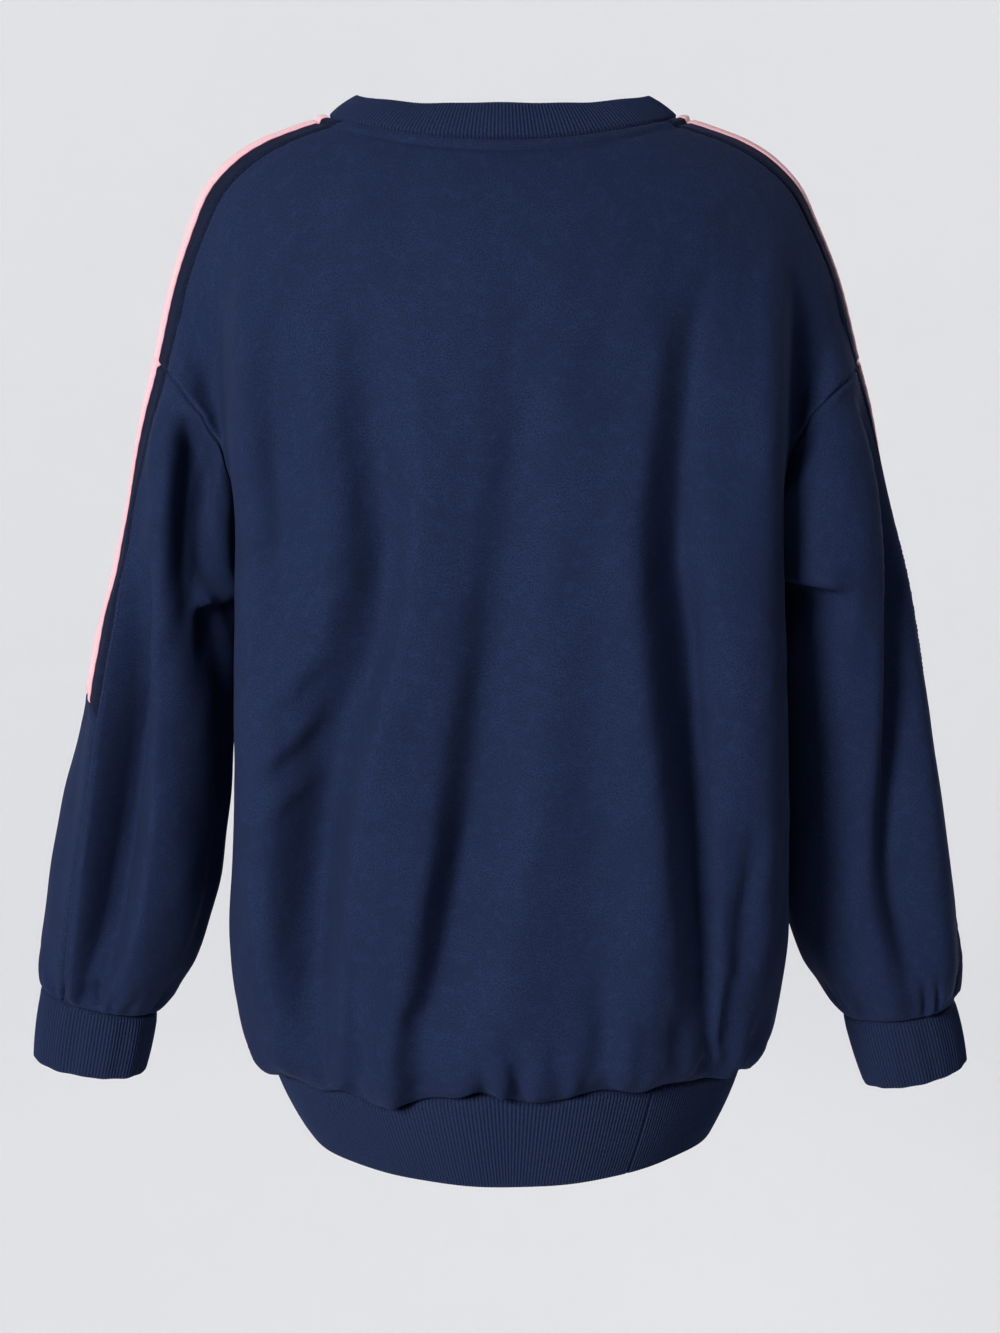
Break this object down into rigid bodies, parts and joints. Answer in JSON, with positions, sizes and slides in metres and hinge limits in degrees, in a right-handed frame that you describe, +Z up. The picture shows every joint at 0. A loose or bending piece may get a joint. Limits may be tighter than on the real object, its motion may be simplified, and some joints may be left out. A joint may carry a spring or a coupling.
{
  "type": "crewneck sweatshirt",
  "caption": "Oversized crewneck sweatshirt as worn, hollow, with dropped shoulders, full sleeves, ribbed collar, cuffs and hem, and a pale band down each shoulder and upper sleeve.",
  "frame": {"origin": "midway between the two points where the shoulders meet the neckline, where a wearer's shoulders carry the garment", "axes": "+Z up towards the wearer's head, +X towards the wearer's left, +Y towards the wearer's back, so the front faces -Y"},
  "size_m": [0.6544, 0.3193, 0.6987],
  "materials": {
    "navy_fleece": "matte brushed jersey",
    "navy_rib": "matte ribbed knit",
    "navy_insert": "matte jersey",
    "pale_pink_tape": "soft woven tape"
  },
  "bodies": {
    "root": {"back_panel": "navy_fleece", "front_panel": "navy_fleece", "left_sleeve": "navy_fleece", "right_sleeve": "navy_fleece", "left_sleeve_strip": "navy_fleece", "right_sleeve_strip": "navy_fleece", "left_shoulder_insert": "navy_insert", "right_shoulder_insert": "navy_insert", "left_sleeve_insert": "navy_insert", "right_sleeve_insert": "navy_insert", "left_shoulder_band": "pale_pink_tape", "right_shoulder_band": "pale_pink_tape", "left_sleeve_band": "pale_pink_tape", "right_sleeve_band": "pale_pink_tape", "collar_rib": "navy_rib", "hem_rib": "navy_rib", "left_cuff": "navy_rib", "right_cuff": "navy_rib"}
  },
  "joints": []
}
